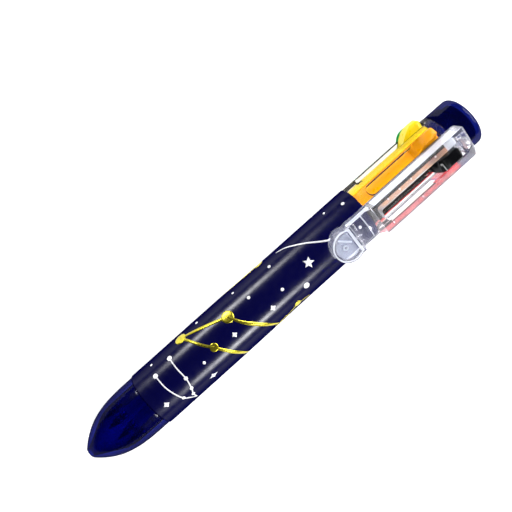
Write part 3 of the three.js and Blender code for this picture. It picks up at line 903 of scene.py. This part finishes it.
def make_clip():
    clip = loose(slab(clip_side(), 2 * PAD_RADIUS))
    combine(clip, "INTERSECT", loose(standing(clip_plan(), 0, CLEAR_OF_CLIP)))
    combine(clip, "INTERSECT", loose(turned(clip_envelope(), 128, closed=False)))
    cut(clip, *clip_hollows())
    rim = neck_strip([
        (91.2, 8.6), (91.2, NECK_TOP + 0.9), (92.4, NECK_TOP + 0.4), (98.0, NECK_TOP + 0.4),
        (99.3, NECK_TOP + 1.4), (99.3, 8.6),
    ], 0.75)
    lug = loose(block(CLIP_END - 2.3, CLIP_END - 0.7, 3, CAP_BORE + 0.15, SADDLE + 0.5))
    join(clip, lug, rim)
    finish_piece(clip, "clear_clip", "clip", "clip", clip_clear, 0.16, 3, 30)


def make_clip_wall():
    """A thin whitish sheet inside the arm's upper side wall: painted highlight for the glint that
    refraction gives the clear wall.
    """
    low, high = CLIP_FLOOR + 0.9, CLIP_TOP - 0.3
    wall = loose(block(BOX_START + 1.2, CLIP_END - 2.8, 0.12, low, high, CLIP_HALF - 0.12))
    finish_piece(wall, "clip_wall", "clip", None, clip_glint_haze, 0.03)


def make_clip_ridges():
    """The raised edges: pad ring, slanted ridge, neck edge, foot and marks; their shapes are the clip's
    own, their whitish haze is a painted highlight for the glint that refraction gives the clear edges.
    """
    below = PAD_TOP - 0.08
    outer = arc((PAD_MIDDLE, 0), PAD_RADIUS - 0.15, 60, 300, 40)
    inner = arc((PAD_MIDDLE, 0), PAD_RADIUS - 0.5, 60, 300, 40)
    ring = loose(standing(outer + inner[::-1], PAD_TOP - 0.35, below))
    ridge_width = 2 * CLIP_HALF - 1.2
    ridge = loose(block(RIDGE_START + 0.15, RIDGE_END - 0.35, ridge_width, PAD_TOP - 0.8, below))
    brow = neck_strip([
        (91.6, NECK_TOP), (91.6, NECK_TOP + 0.7), (92.6, NECK_TOP + 0.32), (97.9, NECK_TOP + 0.32),
        (99.1, NECK_TOP + 1.2), (99.1, NECK_TOP),
    ], 0.6)
    foot = loose(block(124.8, 127.6, 1.7, CLIP_TOP - 1.6, CLIP_TOP - 0.15, CLIP_HALF - 1.5))
    join(ring, ridge, brow, foot, clip_crease(), *clip_marks())
    finish_piece(ring, "clip_ridges", "clip", None, clip_glint_haze, 0.05)


def make_pad_floor():
    """A thin whitish sheet at the floor of the pad's dish: painted sheen for the light that the clear pad
    gathers and bends.
    """
    plan = arc((PAD_MIDDLE, 0), PAD_RADIUS - 1.0, 60, 300, 32)
    mist = loose(standing(plan, PAD_TOP - 1.2, PAD_TOP - 0.95))
    finish_piece(mist, "clip_pad_floor", "clip", None, pad_glint_haze, 0.05)


# Sliders
def make_slider(colour, index):
    outline = arc((0, 0), BAR_OUTER, 90 - HEAD_ANGLE, 90 + HEAD_ANGLE, 14)
    outline += arc((0, 0), BAR_STEP, 90 + HEAD_ANGLE, 90 + STEM_ANGLE, 2)
    outline += arc((0, 0), BAR_INNER, 90 + STEM_ANGLE, 90 - STEM_ANGLE, 8)
    outline += arc((0, 0), BAR_STEP, 90 - STEM_ANGLE, 90 - HEAD_ANGLE, 2)
    slider = loose(prism(outline, BAR_START, BAR_END), index)
    stem = 1.5
    if colour == "black":
        half, top, bulge, end = 1.75, BLACK_TAB_RADIUS, 1.0, BAR_END
        side = [(118.6, 6), (119.3, 8.2), (119.6, 10.2), (119.9, 11.6), (120.4, 12.6), (121.3, 13.3)]
        side += [(122.5, top - 0.1), (123.9, top), (125.2, top - 0.05)]
        side += arc((BAR_END - 1.5, top - 1.6), 1.5, 80, 0, 8)
    else:
        half, top, bulge, end = stem, TAB_RADIUS, 1.1, TAB_PEAK + 1.8
        side = [(TAB_START, 6), (TAB_START + 0.6, 6.6), (119.8, 7.7), (121.3, 8.9), (122.7, 9.6)]
        side += [(TAB_PEAK - 1, top - 0.06), (TAB_PEAK, top)]
        side += arc((end - 1.6, top - 1.7), 1.6, 80, 0, 8)
    side.append((end, 6))
    tab = loose(slab(side, 2 * half), index)
    crown = [(-half, 8.7), (-stem, 8.4), (-stem, 5), (stem, 5), (stem, 8.4), (half, 8.7)]
    crown += arc((half - bulge, top - bulge), bulge, 0, 90, 7)
    crown += arc((bulge - half, top - bulge), bulge, 90, 180, 7)
    combine(tab, "INTERSECT", loose(prism(crown, TAB_START - 1, BAR_END + 1), index))
    thumb = [(TAB_START - 1, -half)]
    thumb += arc((end - half, 0), half, -90, 90, 16)
    thumb.append((TAB_START - 1, half))
    combine(tab, "INTERSECT", loose(standing(thumb, 0, top + 1), index))
    join(slider, tab, loose(peg(95, BAR_START + 0.5, 0.75, REFILL_RING, 24), index))
    finish_piece(
        slider, f"button_{colour}", f"slider_{colour}", f"slider_{colour}",
        slider_finish[colour], 0.25, 3,
    )


# Springs, refills
def helix(turns, start, end, radius, wire, steps, sides):
    """A coil about the refill's axis, with dead turns at both ends, capped."""
    bm = bmesh.new()
    rings = []
    count = turns * steps
    dead = 0.08
    forward = Vector((1, 0, 0))
    for k in range(count + 1):
        t = k / count
        lift = min(max((t - dead) / (1 - 2 * dead), 0), 1)
        station = start + wire * 2 * min(t / dead, 1) + (end - start - wire * 4) * lift
        station += wire * 2 * max((t - 1 + dead) / dead, 0)
        angle = 2 * math.pi * turns * t
        out = Vector((0, math.cos(angle), math.sin(angle)))
        centre = Vector((station, 0, REFILL_RING)) + out * radius
        ring = []
        for j in range(sides):
            a = 2 * math.pi * j / sides
            ring.append(bm.verts.new(centre + out * wire * math.cos(a) + forward * wire * math.sin(a)))
        rings.append(ring)
    for low, high in zip(rings, rings[1:]):
        for j in range(sides):
            n = (j + 1) % sides
            bm.faces.new((low[j], low[n], high[n], high[j]))
    bm.faces.new(rings[0])
    bm.faces.new(rings[-1])
    bmesh.ops.recalc_face_normals(bm, faces=bm.faces)
    return bm


def make_spring(colour, index):
    low, high = SEAT_TOP + SPRING_GAP + WIRE_RADIUS, BAR_START - SPRING_GAP - WIRE_RADIUS
    coil = loose(helix(11, low, high, SPRING_RADIUS, WIRE_RADIUS, 24, 8), index)
    finish_piece(coil, f"coil_{colour}", "casing", f"spring_{colour}", steel)
    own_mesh(coil)


def raised(bm):
    bmesh.ops.translate(bm, verts=bm.verts, vec=(0, 0, REFILL_RING))
    return bm


def make_refill(colour, index):
    steps = 40
    length = TUBE_END - TUBE_START
    outside = [(TUBE_START + length * k / steps, TUBE_RADIUS) for k in range(steps + 1)]
    bore = [(s, TUBE_BORE) for s, _ in reversed(outside)]
    tube = loose(raised(turned(outside + bore, 24)), index)
    body = f"refill_{colour}"
    tube.name = f"ink_tube_{colour}"
    for face in tube.data.polygons:
        face.use_smooth = True
    tube.data.set_sharp_from_angle(angle=math.radians(40))
    tube.data.materials.append(ink_finish(colour))
    turn = PEN @ Matrix.Rotation(index * PITCH, 4, "X")
    start = turn @ Vector((BEND_START, 0, REFILL_RING))
    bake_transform(tube)
    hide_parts(f"refill_tube_{colour}")
    holder = [
        (15.6, 0.85), (15.6, 1.2), (16.1, 1.45), (24.6, 1.45), (25.1, 1.3), (25.1, 0.75), (29.1, 0.75),
        (29.1, 0), (19, 0), (19, 0.85),
    ]
    finish_piece(
        loose(raised(turned(holder, 32)), index), f"holder_{colour}", body, f"tip_holder_{colour}",
        white, 0.08,
    )
    ball, start = 0.35, 9.2
    tip = [(start, 0)]
    tip += [(start + ball * (1 - math.cos(a)), 0.33 * math.sin(a)) for a in (0.5, 1.0, 1.5)]
    tip += [(10.3, 0.5), (11.8, 1.05), (13.4, 1.05), (13.5, 0.95), (13.8, 0.95), (13.9, 1.05), (15.5, 1.05)]
    tip += [(15.5, 0.75), (18.5, 0.75), (18.5, 0)]
    finish_piece(
        loose(raised(turned(tip, 32, closed=False)), index), f"writing_tip_{colour}", body,
        f"refill_tip_{colour}", nickel, 0.03,
    )


make_nose()
make_barrel()
make_print()
make_upper_body()
make_core()
make_seat()
make_cap()
make_clip()
make_clip_wall()
make_clip_ridges()
make_pad_floor()
for number, name in enumerate(COLOURS):
    make_slider(name, number)
    make_spring(name, number)
    make_refill(name, number)
